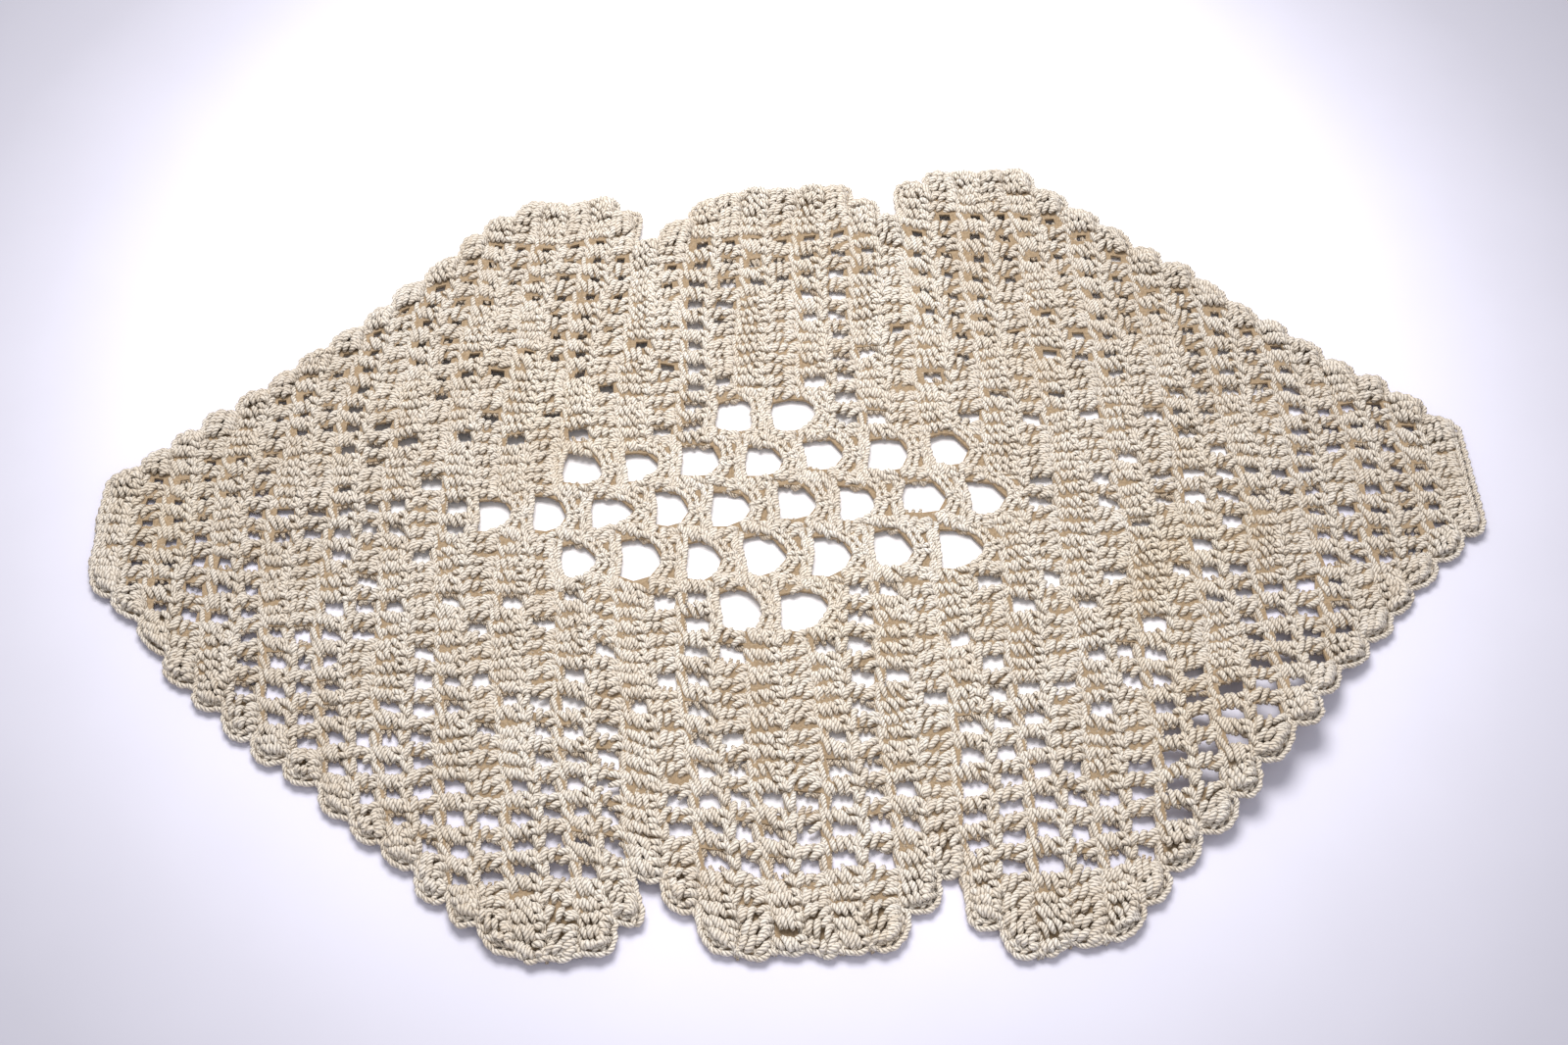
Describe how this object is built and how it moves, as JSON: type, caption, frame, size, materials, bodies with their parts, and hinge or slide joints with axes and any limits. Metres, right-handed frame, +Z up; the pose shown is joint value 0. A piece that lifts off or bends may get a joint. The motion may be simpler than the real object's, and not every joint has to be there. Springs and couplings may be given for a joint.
{
  "type": "crochet lace doily",
  "caption": "Flat six-sided cotton lace table doily with scalloped edges, worked in square meshes with a net of larger holes at its middle.",
  "frame": {"origin": "on the table under the middle of the doily's outline", "axes": "+X along the doily's length towards the right end, +Y across it towards the lobes lying away from the viewer, +Z up from the table"},
  "size_m": [0.38, 0.2682, 0.0105],
  "materials": {
    "cotton": "unbleached plied cotton yarn, matte with a faint sheen"
  },
  "bodies": {
    "root": {"doily": "cotton"}
  },
  "joints": []
}
